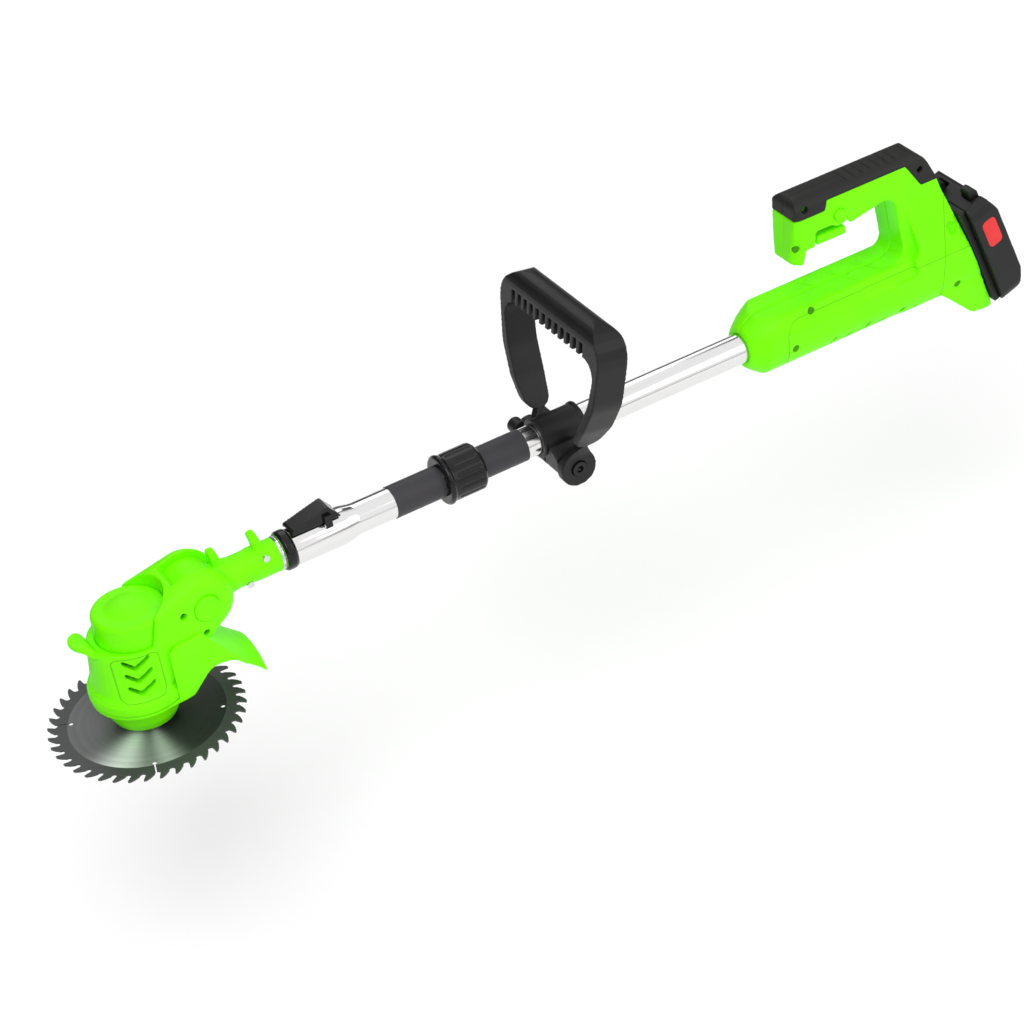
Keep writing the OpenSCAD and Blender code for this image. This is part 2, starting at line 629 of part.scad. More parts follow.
arm_gap = 0.4;
arm_in = ear_half_w + arm_gap;
arm_out = arm_in + strap_t;
bolt_head_r = 6.2;
bolt_recess = 4;
knob_y0 = arm_out + arm_gap;
module pivot_bolt() color([0.12, 0.12, 0.12]) difference() {
    union() {
        y_cyl(clamp_x, pivot_z, -arm_out + 1, knob_y0 + 14, pivot_r);
        y_cyl(clamp_x, pivot_z, -arm_out - 1.5, -arm_out + bolt_recess - part_gap, bolt_head_r);
    }
    // socket in the bolt head
    translate([clamp_x, -arm_out - 2, pivot_z]) rotate([-90, 0, 0]) cylinder(h = 3.5, r = 3.2, $fn = 6);
}

module wing_knob() color([0.1, 0.1, 0.1]) difference() {
    union() {
        y_cyl(clamp_x, pivot_z, knob_y0, knob_y0 + 18, 9.5);
        for (a = [90:120:330]) translate([clamp_x, knob_y0 + 6.5, pivot_z]) rotate([0, a, 0]) {
            translate([0, 0, -4.5]) cube([14, 11, 9]);
            translate([14, 0, 0]) rotate([-90, 0, 0]) cylinder(h = 11, r = 6.5);
        }
    }
    y_cyl(clamp_x, pivot_z, knob_y0 - 1, knob_y0 + 15, pivot_r + running_gap);
}

// Centre line of one arm in the plane of the loop: [distance out, height]
arm_mid = arm_in + strap_t / 2;
arm_in_r = 14;
arm_out_r = 26;
// Outline of the loop to a distance on either side of its centre line
function loop_outline(t, top, r) = rounded([
    [arm_mid + t, -pivot_disc_r - 2, 0], [arm_mid + t, 13, 16], [loop_half_w - 16 + 1.1 * t, loop_h * 0.37, 40],
    [loop_half_w - 3 + 1.1 * t, loop_h * 0.58, 40], [loop_half_w + 5.5 + t, loop_h + top, r],
    [-loop_half_w - 5.5 - t, loop_h + top, r], [-loop_half_w + 3 - 1.1 * t, loop_h * 0.58, 40],
    [-loop_half_w + 16 - 1.1 * t, loop_h * 0.37, 40], [-arm_mid - t, 13, 16], [-arm_mid - t, -pivot_disc_r - 2, 0]
]);
bar_r = 13;
module on_loop() translate([clamp_x, 0, pivot_z]) rotate([0, loop_lean, 0]) children();
module loop_handle() color([0.11, 0.11, 0.11]) on_loop() difference() {
    // one band: two arms and the grip bar, narrowed to the pivot discs at the foot
    intersection() {
        rotate([90, 0, 90]) translate([0, 0, -strap_w]) linear_extrude(2 * strap_w) difference() {
            polygon(loop_outline(strap_t / 2, bar_r, arm_out_r));
            polygon(loop_outline(-strap_t / 2, -bar_r, arm_in_r));
        }
        rotate([90, 0, 0]) translate([0, 0, -100]) linear_extrude(200) polygon(concat(
            arc([0, 0], pivot_disc_r, 150, 390, 20),
            rounded([
                [10.5, 24, 10], [strap_w / 2, 46, 10], [strap_w / 2, loop_h + bar_r, strap_w / 2 - 1],
                [-strap_w / 2, loop_h + bar_r, strap_w / 2 - 1], [-strap_w / 2, 46, 10], [-10.5, 24, 10]
            ])
        ));
    }
    y_cyl_local(-60, 60, pivot_r + running_gap);
    y_cyl_local(-60, -arm_out + bolt_recess, bolt_head_r + part_gap);
    // slots along the front of the grip bar
    for (i = [0:11]) translate([-bar_r - 1, -49.5 + i * 9, loop_h - bar_r - 4]) cube([8, 4.2, 15]);
    // pockets in the inner face of each strap
    for (side = [-1, 1], row = [0:4], col = [-1, 1])
        translate([col * 5.8, side * (arm_mid + 9 + row * 5.6), 26 + row * 9.4]) rotate([side * -31, 0, 0])
            translate([-4.2, -4.5 * side - 1.5, -3]) cube([8.4, 3, 6.2]);
}
module y_cyl_local(y0, y1, r) translate([0, y0, 0]) rotate([-90, 0, 0]) cylinder(h = y1 - y0, r = r);

// ---- Rear housing ----
// Distance of the battery plate from the origin at a height
function plate_at(z) = plate_x + (plate_z - z) * tan(plate_lean);
module barrel() intersection() {
    cross_prism(concat(
        arc([0, shaft_z], barrel_r, 180, 360, 24),
        rounded([
            [barrel_r, shaft_z + 1, 0], [barrel_r, shaft_z + 12, 8], [21, shaft_z + barrel_top, 5],
            [-21, shaft_z + barrel_top, 5], [-barrel_r, shaft_z + 12, 8], [-barrel_r, shaft_z + 1, 0]
        ])
    ), nose_x, plate_at(shaft_z));
    turned([[0, 0], [15.5, 0], [17.5, 1], [21, 5], [26, 12], [34, 26], [40, 40], [40, 260], [0, 260]], nose_x);
    side_prism([
        [nose_x - 1, shaft_z - 40], [plate_at(shaft_z - 40), shaft_z - 40], [plate_at(shaft_z + 40), shaft_z + 40],
        [nose_x - 1, shaft_z + 40]
    ], -60, 60);
}

grip_top = 18;
module handle_loop() {
    // nose, grip and rear column in one open C
    intersection() {
        side_prism(rounded([
            [-54, grip_top, 8], [-60, -36, 3], [-50, -38, 3], [-46.8, -26, 0], [-46.8, -12.6, 0], [-6.4, -12.6, 0],
            [-3, -17.5, 2], [40, -9, 12], [47, shaft_z + barrel_top + 6, 10], [20, shaft_z + barrel_top - 8, 0],
            [plate_at(shaft_z), shaft_z, 0], [plate_at(plate_z), plate_z, 5], [69, grip_top, 16]
        ]), -grip_half_w, grip_half_w);
        cross_prism(rounded([
            [-grip_half_w, -300, 0], [grip_half_w, -300, 0], [grip_half_w, grip_top, 11], [-grip_half_w, grip_top, 11]
        ]), -70, 140);
        // rounded nose in plan
        translate([0, 0, -300]) linear_extrude(400) polygon(rounded([
            [-60, -grip_half_w, 11], [140, -grip_half_w, 0], [140, grip_half_w, 0], [-60, grip_half_w, 11]
        ]));
    }
    // cheeks that hold the trigger's pin
    for (s = [-1, 1]) translate([0, s * (grip_half_w + trigger_front_w) / 2, 0]) side_prism([
        [-50, trigger_z0], [-38, trigger_z0], [-36, -12], [-50, -12]
    ], (trigger_front_w - grip_half_w) / 2, (grip_half_w - trigger_front_w) / 2);
    // boss around the lock button
    y_cyl(lock_x, lock_z, -grip_half_w - 0.8, grip_half_w + 0.8, 10);
    // the column widens into the body
    intersection() {
        side_prism(rounded([
            [50, plate_z - 22, 6], [58, shaft_z + barrel_top + 4, 10], [30, shaft_z + barrel_top - 12, 0],
            [40, shaft_z - 20, 0], [plate_at(shaft_z - 20), shaft_z - 20, 0],
            [plate_at(plate_z - 12), plate_z - 12, 0]
        ]), -40, 40);
        cross_prism(concat(arc([0, shaft_z], column_half_w, 180, 360, 24), rounded([
            [column_half_w, shaft_z + 1, 0], [column_half_w, shaft_z + 20, 14], [grip_half_w, -22, 8],
            [grip_half_w - 3, 0, 0],
            [3 - grip_half_w, 0, 0], [-grip_half_w, -22, 8], [-column_half_w, shaft_z + 20, 14],
            [-column_half_w, shaft_z + 1, 0]
        ])), 0, 160);
    }
    // foot that carries the lower end of the battery plate
    intersection() {
        side_prism(rounded([
            [70, shaft_z - 10, 0], [84, shaft_z - barrel_r + 4, 10], [108, shaft_z - 46, 8],
            [plate_at(shaft_z - 51) - 1, shaft_z - 51, 4],
            [plate_at(shaft_z), shaft_z, 0]
        ]), -40, 40);
        cross_prism(rounded([
            [-24, shaft_z - 52, 10], [24, shaft_z - 52, 10], [column_half_w - 2, shaft_z - 16, 14],
            [column_half_w - 4, shaft_z, 0],
            [4 - column_half_w, shaft_z, 0], [2 - column_half_w, shaft_z - 16, 14]
        ]), 0, 160);
    }
}

column_half_w = barrel_r + 1;
shell_t = 3;
module housing_cavity() {
    x_cyl(nose_x + tube_seat + 0.5, plate_at(shaft_z) - 20, barrel_r - shell_t - 1);
    x_cyl(nose_x - 1, nose_x + tube_seat + 1, tube_r + 0.02);
    box(-43, 64, -grip_half_w + 5, grip_half_w - 5, -10, 10);
    box(56, 76, -grip_half_w + 4, grip_half_w - 4, shaft_z, 2);
}

module housing_solid() {
    barrel();
    handle_loop();
}

module pad_zone(grow) side_prism([
    [-80, 3 - grow], [-27, 3 - grow], [-24 - grow, 11 - grow], [53 + grow, 11 - grow], [67, -10.5 - grow],
    [110, -10.5 - grow], [110, 40], [-80, 40]
], -40, 40);

// each screw: station, height, end of the thread, underside of the head
housing_screw_spots = [
    [-55, -22, 7, -12.5], [-50, shaft_z + 22, 7, -20], [-69, shaft_z - 4, -tube_r - 1, -23],
    [93, shaft_z - 11, 7, -22]
];
pad_screw_spots = [[-45, 10.5], [66, 4]];
module housing_shell() difference() {
    housing_solid();
    housing_cavity();
    pad_zone(0);
    y_cyl(lock_x, lock_z, -60, 60, lock_r + running_gap);
    y_cyl(trigger_x0 + 3.5, trigger_z1 - 3, -60, 60, 1.5);
    // slot for the trigger's post
    box(trigger_x0 + 8, trigger_x0 + 16, -3.5, 3.5, -13, -9);
    for (i = [0:5]) translate([i * 17, 0, 0]) side_prism([
        [-36, shaft_z - 19], [-33, shaft_z - 19], [-26, shaft_z - 11], [-29, shaft_z - 11]
    ], -60, 60);
    // shallow bands across the flat top of the barrel
    for (i = [0:2]) translate([22 - i * 24, 0, shaft_z + barrel_top]) rotate([0, 0, 25])
        box(-4.5, 4.5, -17, 17, -0.8, 3);
    // hollow for a fingertip beside the battery catch
    for (s = [-1, 1]) translate([0, s * 45, 0]) side_prism(rounded([[85, -50, 2], [98, -56, 3],
    [91, -68, 3]]), -25, 25);
    // recess behind the label and screw holes
    for (s = [0, 1]) mirror([0, s, 0]) translate([0, 23.75, shaft_z + 19.5]) rotate([20, 0, 0])
        box(0, 52, -0.8, 5, -6, 6.5);
    for (s = housing_screw_spots) {
        y_cyl(s[0], s[1], -60, s[2] + 1, 1.6);
        y_cyl(s[0], s[1], -60, s[3], 3.2);
    }
}
module housing_left() color([0.49, 1, 0]) left_half() housing_shell();
module housing_right() color([0.49, 1, 0]) right_half() housing_shell();

module pad_solid() difference() {
    intersection() {
        housing_solid();
        pad_zone(0);
    }
    housing_cavity();
    for (i = [0:6]) translate([2 + i * 8, 0, grip_top + 0.9]) rotate([90, 0, 0])
        cylinder(h = 80, r = 2, center = true);
    for (s = pad_screw_spots) y_cyl(s[0], s[1], -60, -grip_half_w + 6, 2.8);
}
module grip_pad_left() color([0.16, 0.16, 0.16]) left_half() pad_solid();
module grip_pad_right() color([0.16, 0.16, 0.16]) right_half() pad_solid();

module housing_screws() color([0.25, 0.25, 0.25]) {
    for (s = housing_screw_spots) {
        y_cyl(s[0], s[1], s[3], s[2], 1.5);
        y_cyl(s[0], s[1], s[3] - 2, s[3], 3);
    }
    for (s = pad_screw_spots) y_cyl(s[0], s[1], -grip_half_w + 5, -grip_half_w + 6, 2.6);
}

module trigger() color([0.47, 0.96, 0]) difference() {
    union() {
        side_prism(rounded([
            [trigger_x0 + 10.5, trigger_z0, 0], [trigger_x1, trigger_z0, 1], [trigger_x1, trigger_z1, 1],
            [trigger_x0 + 11.5, trigger_z1, 0]
        ]), -grip_half_w + 1, grip_half_w - 1);
        side_prism(rounded([
            [trigger_x0, trigger_z0, 1.5], [trigger_x0 + 12, trigger_z0, 0], [trigger_x0 + 12, trigger_z1, 0],
            [trigger_x0, trigger_z1, 1]
        ]), part_gap - trigger_front_w, trigger_front_w - part_gap);
        box(trigger_x0 + 10, trigger_x0 + 14, -2.5, 2.5, trigger_z1 - 1, -11.8);
    }
    y_cyl(trigger_x0 + 3.5, trigger_z1 - 3, -60, 60, 1.5 + running_gap);
}
module trigger_pin() color("silver") y_cyl(trigger_x0 + 3.5, trigger_z1 - 3, -grip_half_w + 1, grip_half_w - 1, 1.5);

module lock_button() color([0.47, 0.96, 0]) difference() {
    y_cyl(lock_x, lock_z, -grip_half_w - 2.6, grip_half_w - 3, lock_r);
    y_cyl(lock_x, lock_z, -grip_half_w - 3, -grip_half_w - 1.8, lock_r - 2);
}

module power_switch() color([0.12, 0.12, 0.12]) box(-41, -24, -9, 9, -9.8, 7);

module handle_lead() color([0.5, 0.1, 0.1]) {
    box(-23.5, 60, 4, 7, 2, 5);
    box(60, 63, 4, 7, shaft_z + 4, 5);
    box(nose_x + 20, 63, 4, 7, shaft_z + 1, shaft_z + 4);
}

rail_low = pack_low + 12;
rail_high = pack_top - 14;
rail_neck = 2;
rail_out = 4.2;
module battery_rail() color([0.13, 0.13, 0.13]) on_plate() {
    box(0, rail_neck, -15, 15, rail_low, rail_high);
    box(rail_neck, rail_out, -19, 19, rail_low, rail_high);
}
module terminal_block() color([0.8, 0.6, 0.2]) on_plate() for (y = [-8:8:8])
    box(rail_out, 8, y - 0.5, y + 0.5, rail_low + 20, rail_low + 40);

// ---- Battery, in the frame of its plate: x outwards, z up along the rails ----
module pack_profile(y0, y1) side_prism(rounded([
    [0.5, pack_low, 0], [0.5, pack_top, 0], [pack_t - 6, pack_top + 2.5, 6], [pack_t, pack_top - 14, 10],
    [pack_t, pack_low + 18, 16], [pack_t - 8, pack_low - 2, 7]
]), y0, y1);
pack_split = 6;
base_half_w = 28;
module pack_shape() intersection() {
    pack_profile(-pack_half_w, pack_half_w);
    cross_prism(rounded([
        [-pack_half_w, pack_low - 3, 12], [pack_half_w, pack_low - 3, 12], [pack_half_w, pack_top + 3, 13],
        [-pack_half_w, pack_top + 3, 13]
    ]), -5, 60);
}
module pack_hollow()
    box(pack_split + 3.5, pack_t - 2.3, 3 - pack_half_w, pack_half_w - 3, pack_low + 4, pack_top - 4);
module rail_groove() {
    box(-1, rail_neck + part_gap, -15 - part_gap, 15 + part_gap, pack_low - 5, rail_high + part_gap);
    box(rail_neck - 0.3, rail_out + part_gap, -19 - part_gap, 19 + part_gap, pack_low - 5, rail_high + part_gap);
    // way for the contacts, through to the cells
    box(rail_out, pack_split + 3.6, -10, 10, pack_low - 5, rail_low + 41);
}
latch_low = pack_top - 10;
latch_travel = 3;
// thumb catches: [inner face, outer face, right side, left side]
thumbs = [[16.5, 25, -24, -12], [10, 16, 8, 20]];
module battery_base() color([0.1, 0.1, 0.1]) on_plate() difference() {
    intersection() {
        pack_shape();
        box(-5, pack_split, -base_half_w, base_half_w, -300, 60);
    }
    rail_groove();
    box(-4, 22, -6.5, 6.5, latch_low - 0.5, latch_low + 4);
}
module battery_cover() color([0.1, 0.1, 0.1]) on_plate() difference() {
    intersection() {
        pack_shape();
        box(pack_split, 60, -60, 60, -300, 60);
    }
    pack_hollow();
    rail_groove();
    for (t = thumbs) box(t[0] - 0.5, t[1] + latch_travel + 0.5, t[2] - 0.5, t[3] + 0.5, latch_low, pack_top + 20);
    box(pack_split - 1, 16, -6.5, 6.5, latch_low - 0.5, latch_low + 4);
    box(pack_split + 3.5, 28.6, -25, 21, latch_low - 1, latch_low + 6.1);
    // label recess on both sides
    for (s = [-1, 1]) label_patch(s, 0.6, 5);
    // cut below the left shoulder, where a fingertip pushes
    translate([pack_t - 1, 0, pack_top - 16]) rotate([0, 24, 0]) box(0, 9, 8 - pack_half_w, pack_half_w - 8, -1, 1);
}
module label_patch(s, depth, grow) translate([0, s * (pack_half_w + (grow - depth) / 2), 0]) side_prism(rounded([
    [12, pack_top - 44, 4], [25.5, pack_top - 44, 4], [25.5, pack_top - 17, 4], [12, pack_top - 17, 4]
]), -(grow + depth) / 2, (grow + depth) / 2);
cell_r = 9;
cell_pitch = 18.4;
module battery_cells() color([0.2, 0.45, 0.75]) on_plate() for (i = [0:3])
    y_cyl(pack_t - 11.5, pack_low + 5 + cell_r + i * cell_pitch, -31, 31, cell_r);
module battery_latch() color([0.13, 0.13, 0.13]) on_plate() {
    for (t = thumbs) side_prism(rounded([
        [t[0], latch_low, 0], [t[1], latch_low, 0], [t[1], pack_top + 6, 1.5], [t[1] - 2, pack_top + 9, 1.5],
        [t[0], pack_top + 9, 2]
    ]), t[2], t[3]);
    box(thumbs[1][0], thumbs[0][1], -24, 20, latch_low, latch_low + 3.5);
    box(part_gap, 17, -6, 6, latch_low, latch_low + 3.5);
}
module battery_label() color([0.85, 0.15, 0.15]) on_plate() for (s = [-1, 1]) label_patch(s, 0.6, 0);

upper_tube();
rear_sleeve();
collet();
collar_nut();
inner_tube();
front_sleeve();
lower_tube();
lock_ring();
detent_ring();
release_lever();
lever_pin();
coiled_lead();
neck_left();
neck_right();
neck_screws();
hinge_bolt();
head_left();
head_right();
motor_cap();
blade_guard();
head_screws();
angle_button();
motor_can();
motor_rotor();
upper_bearing();
lower_bearing();
spindle();
inner_flange();
saw_blade();
outer_flange();
blade_nut();
clamp_left();
clamp_right();
pivot_bolt();
wing_knob();
loop_handle();
housing_left();
housing_right();
grip_pad_left();
grip_pad_right();
housing_screws();
trigger();
trigger_pin();
lock_button();
power_switch();
handle_lead();
battery_rail();
terminal_block();
battery_base();
battery_cover();
battery_cells();
battery_latch();
battery_label();
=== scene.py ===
import math

import bpy
from mathutils import Matrix, Vector


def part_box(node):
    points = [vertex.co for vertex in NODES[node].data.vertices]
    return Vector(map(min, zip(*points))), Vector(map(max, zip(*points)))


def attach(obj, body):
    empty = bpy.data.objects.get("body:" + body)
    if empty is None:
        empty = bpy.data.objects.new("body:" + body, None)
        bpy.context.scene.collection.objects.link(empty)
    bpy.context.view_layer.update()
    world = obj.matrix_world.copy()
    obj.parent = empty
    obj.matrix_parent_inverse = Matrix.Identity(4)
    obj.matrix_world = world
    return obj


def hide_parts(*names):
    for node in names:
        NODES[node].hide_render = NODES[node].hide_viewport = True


bl_info = {
    "name": "Cordless Trimmer Looks",
    "version": (1, 0, 0),
    "blender": (4, 5, 0),
    "location": "View3D > Sidebar > Trimmer",
    "description": "Moulded shells, plated tubes, saw blade and battery of a cordless garden trimmer",
    "category": "Object",
}

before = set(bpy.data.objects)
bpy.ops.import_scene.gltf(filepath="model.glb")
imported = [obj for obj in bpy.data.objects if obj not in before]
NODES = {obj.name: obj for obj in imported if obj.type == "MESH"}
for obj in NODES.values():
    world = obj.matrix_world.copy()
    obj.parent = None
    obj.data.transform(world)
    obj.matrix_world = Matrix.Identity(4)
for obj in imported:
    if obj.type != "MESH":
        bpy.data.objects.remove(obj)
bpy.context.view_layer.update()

MM = 0.001

# Lines drawn on the shells: half width, soft edge, and the height of the shaft they are set from
LINE_HALF = 0.35 * MM
LINE_SOFT = 0.25 * MM
LINE_TONE = 0.35
LINE_STRENGTH = 0.55
SHAFT_Z = -100.0 * MM
HOUSING_PANEL = ((-76.0 * MM, SHAFT_Z - 60.0 * MM), (300.0 * MM, SHAFT_Z + 21.5 * MM), 14.0 * MM)
HOUSING_SEAM = (74.0 * MM, SHAFT_Z - 25.0 * MM, 0.137)
HEAD_PANEL_BACK = 24.0 * MM
HEAD_PANEL_FRONT = 10.0 * MM
HEAD_PANEL_TOP = 13.0 * MM
HEAD_PANEL_FOOT = 50.0 * MM
HEAD_PANEL_CORNER = 5.0 * MM

# Painted light on the blade: a near-black level of painted shade, then bright and dark wedges of painted
# highlight and painted shade: angle in degrees, sharpness, strength
BLADE_PAINTED_SHADE_BASE = 0.02
BLADE_PAINTED_LIGHT_WEDGES = ((150.0, 1.5, 0.13), (-135.0, 45.0, 0.8), (-99.0, 120.0, 0.45))
GROUND_SHARE = 0.4

# Modelling
MERGE_GAP = 1e-5
SMOOTH_ANGLE = math.radians(25.0)
DARK_PASSES = 2

# Stage
SENSOR_WIDTH = 36.0
CAMERA_REACH = 20.0
CAMERA_TURN = ((0.851544, 0.384264, -0.356671),
               (-0.510568, 0.453206, -0.730702),
               (-0.119137, 0.804329, 0.582118))
FLOOR_SIZE = 14.0
LAMP_AIM = (-0.3, 0.0, -0.1)
LAMPS = (("key light", (-1.4, -1.6, 2.6), 60.0, 1.6),
         ("fill light", (1.8, -2.2, 1.4), 25.0, 2.0),
         ("back light", (0.4, 2.4, 2.0), 30.0, 2.0))
SKY_SLANT = -0.6
SKY_STOPS = ((0.0, 0.12), (0.38, 0.06), (0.5, 0.45), (0.62, 1.0))


# ---- Shader helpers ----
class Val:
    """A node socket that can be used in sums."""

    def __init__(self, mat, socket):
        self.mat = mat
        self.socket = socket

    def _math(self, kind, other, flip=False):
        pair = (other, self) if flip else (self, other)
        return self.mat.node("ShaderNodeMath", {"operation": kind}, {0: pair[0], 1: pair[1]})

    def __add__(self, other):
        return self._math("ADD", other)

    def __radd__(self, other):
        return self._math("ADD", other, True)

    def __sub__(self, other):
        return self._math("SUBTRACT", other)

    def __rsub__(self, other):
        return self._math("SUBTRACT", other, True)

    def __mul__(self, other):
        return self._math("MULTIPLY", other)

    def __pow__(self, other):
        return self._math("POWER", other)

    def max(self, other):
        return self._math("MAXIMUM", other)

    def min(self, other):
        return self._math("MINIMUM", other)

    def above(self, edge, soft):
        """0 below the edge, 1 above it, with a soft step."""
        return self.mat.node(
            "ShaderNodeMapRange", {"interpolation_type": "SMOOTHSTEP"},
            {"Value": self, "From Min": edge - soft, "From Max": edge + soft})

    def size(self):
        return self.mat.node("ShaderNodeMath", {"operation": "ABSOLUTE"}, {0: self})

    def root(self):
        return self.mat.node("ShaderNodeMath", {"operation": "SQRT"}, {0: self})

    def sine(self):
        return self.mat.node("ShaderNodeMath", {"operation": "SINE"}, {0: self})


class Material:
    """A material with its shader and a way to add nodes."""

    def __init__(self, name):
        self.data = bpy.data.materials.new(name)
        self.data.use_nodes = True
        self.tree = self.data.node_tree
        self.bsdf = self.tree.nodes["Principled BSDF"]

    def node(self, kind, settings, inputs, output=0):
        """A node with its settings and the values or links of its sockets."""
        made = self.tree.nodes.new(kind)
        for key, value in settings.items():
            setattr(made, key, value)
        for key, value in inputs.items():
            self.feed(made.inputs[key], value)
        return Val(self, made.outputs[output])

    def feed(self, socket, value):
        if isinstance(value, Val):
            self.tree.links.new(value.socket, socket)
        else:
            socket.default_value = value

    def set(self, **values):
        for key, value in values.items():
            self.feed(self.bsdf.inputs[key.replace("_", " ")], value)

    def place(self):
        return self.node("ShaderNodeTexCoord", {}, {}, "Object")

    def moved(self, centre, scale=(1, 1, 1)):
        """The position seen from a centre, and scaled."""
        shifted = self.node(
            "ShaderNodeVectorMath", {"operation": "SUBTRACT"}, {0: self.place(), 1: centre})
        return self.node("ShaderNodeMapping", {"vector_type": "POINT"},
                         {"Vector": shifted, "Scale": scale})

    def parts(self, vector):
        """The x, y and z of a vector."""
        split = self.tree.nodes.new("ShaderNodeSeparateXYZ")
        self.feed(split.inputs[0], vector)
        return [Val(self, out) for out in split.outputs]

    def noise(self, scale, detail=3.0, rough=0.5, vector=None):
        return self.node("ShaderNodeTexNoise", {}, {
            "Vector": vector or self.place(), "Scale": scale, "Detail": detail, "Roughness": rough})

    def mix(self, factor, first, second):
        made = self.tree.nodes.new("ShaderNodeMix")
        made.data_type = "RGBA"
        self.feed(made.inputs["Factor"], factor)
        self.feed(made.inputs[6], first)
        self.feed(made.inputs[7], second)
        return Val(self, made.outputs[2])

    def bump(self, height, strength, distance):
        self.set(Normal=self.node("ShaderNodeBump", {}, {
            "Strength": strength, "Distance": distance, "Height": height}))


def rgb(colour, gain=1.0):
    return tuple(min(1.0, c * gain) for c in colour[:3]) + (1.0,)


# ---- Materials ----
def panel_edge(mat, low, high, corner):
    """Distance outside a rounded panel on the shell's side; each point is [station, height]."""
    x, _, z = mat.parts(mat.place())
    over = []
    for value, a, b in ((x, low[0], high[0]), (z, low[1], high[1])):
        over.append((value - (a + b) / 2).size() - ((b - a) / 2 - corner))
    past = [value.max(0.0) for value in over]
    outside = (past[0] * past[0] + past[1] * past[1]).root()
    return outside + over[0].max(over[1]).min(0.0) - corner


def shell_plastic(name, colour, panels=(), seams=()):
    """Bright moulded plastic: faint flow mottling, orange-peel bump, panel edges and seams."""
    mat = Material(name)
    lines = None
    for low, high, corner in panels:
        line = 1.0 - panel_edge(mat, low, high, corner).size().above(LINE_HALF, LINE_SOFT)
        lines = line if lines is None else lines.max(line)
    for station, height, slope in seams:
        x, _, z = mat.parts(mat.place())
        line = 1.0 - (x - station - (z - height) * slope).size().above(LINE_HALF, LINE_SOFT)
        lines = line if lines is None else lines.max(line)
    flow = mat.noise(28.0, 2.0)
    speck = mat.noise(900.0, 2.0)
    dark = rgb(colour, 0.86)
    skin = mat.mix(flow.above(0.5, 0.3), dark, rgb(colour))
    grain = speck * 0.02 + mat.noise(160.0, 1.0) * 0.02
    if lines is not None:
        skin = mat.mix(lines * LINE_STRENGTH, skin, rgb(colour, LINE_TONE))
        grain = grain - lines
    mat.set(Base_Color=skin, Roughness=0.4 + flow * 0.1, Specular_IOR_Level=0.12)
    mat.bump(grain, 0.5, 0.0006)
    return mat.data


def grained_plastic(name, colour, rough, grain, strength):
    """Dark plastic with a fine etched grain."""
    mat = Material(name)
    cells = mat.node("ShaderNodeTexVoronoi", {"feature": "F1"}, {"Vector": mat.place(), "Scale": grain})
    broad = mat.noise(35.0, 3.0)
    mat.set(Base_Color=mat.mix(broad, rgb(colour, 0.75), rgb(colour, 1.25)),
            Roughness=rough + broad * 0.14 - 0.07, Specular_IOR_Level=0.3)
    mat.bump(cells + mat.noise(grain * 1.7, 2.0) * 0.5, strength, 0.0003)
    return mat.data


def plated_tube(name, colour, rough):
    """Bright plating with drawing lines along the tube."""
    mat = Material(name)
    lines = mat.noise(1.0, 2.0, 0.6, mat.moved((0, 0, 0), scale=(6.0, 1500.0, 1500.0)))
    cloud = mat.noise(22.0, 3.0)
    mat.set(Base_Color=mat.mix(lines, rgb(colour, 0.92), rgb(colour)), Metallic=1.0,
            Roughness=rough + lines * 0.05 + cloud * 0.03)
    mat.bump(lines, 0.05, 0.0001)
    return mat.data


def turned_steel(name, colour, rough):
    mat = Material(name)
    marks = mat.noise(700.0, 2.0)
    broad = mat.noise(60.0, 3.0)
    mat.set(Base_Color=mat.mix(broad, rgb(colour, 0.8), rgb(colour, 1.1)), Metallic=1.0,
            Roughness=rough + marks * 0.15)
    mat.bump(marks, 0.08, 0.0002)
    return mat.data


def blade_steel(name, colour, centre, rim):
    """Ground disc: rings of fine scratches, painted highlights and painted shade as light and dark wedges,
    and a darker toothed rim.
    """
    mat = Material(name)
    x, y, _ = mat.parts(mat.moved(centre))
    radius = (x * x + y * y).root()
    angle = mat.node("ShaderNodeMath", {"operation": "ARCTAN2"}, {0: y, 1: x})
    rings, wide = (
        mat.node("ShaderNodeTexNoise", {"noise_dimensions": "1D"},
                 {"W": radius, "Scale": scale, "Detail": detail})
        for scale, detail in ((2600.0, 2.0), (260.0, 3.0)))

    def lobe(at, sharp):
        """1 at an angle in degrees, falling away on both sides."""
        return ((angle - math.radians(at - 90.0)).sine() * 0.5 + 0.5) ** sharp

    # painted highlights and painted shade: bright and dark wedges at fixed angles round the disc, over a
    # near-black painted shade
    painted_highlight_and_shade = BLADE_PAINTED_SHADE_BASE
    for at, sharp, strength in BLADE_PAINTED_LIGHT_WEDGES:
        painted_highlight_and_shade = painted_highlight_and_shade + lobe(at, sharp) * strength
    painted_highlight_and_shade = painted_highlight_and_shade * (0.75 + wide * 0.3 + rings * 0.25)
    inner = 1.0 - radius.above(rim, 0.0004)
    # the inner disc's colour carries the painted highlights and painted shade, from near black to brighter
    # than the steel
    disc = mat.mix(painted_highlight_and_shade.min(1.0), rgb(colour, 0.02), rgb(colour, 1.6))
    ring = mat.mix(rings, rgb(colour, 0.08), rgb(colour, 0.2))
    mat.set(Base_Color=mat.mix(inner, ring, disc), Metallic=0.3, Roughness=0.34 + rings * 0.14,
            Specular_IOR_Level=0.2)
    mat.bump(rings, 0.25, 0.00008)
    return mat.data


def assign(node, material):
    obj = NODES[node]
    obj.data.materials.clear()
    obj.data.materials.append(material)
    for poly in obj.data.polygons:
        poly.material_index = 0


# ---- Modelling helpers ----
def pick(obj):
    bpy.ops.object.select_all(action="DESELECT")
    obj.select_set(True)
    bpy.context.view_layer.objects.active = obj


def apply(obj, kind, **settings):
    pick(obj)
    mod = obj.modifiers.new(kind.lower(), kind)
    for key, value in settings.items():
        setattr(mod, key, value)
    bpy.ops.object.modifier_apply(modifier=mod.name)


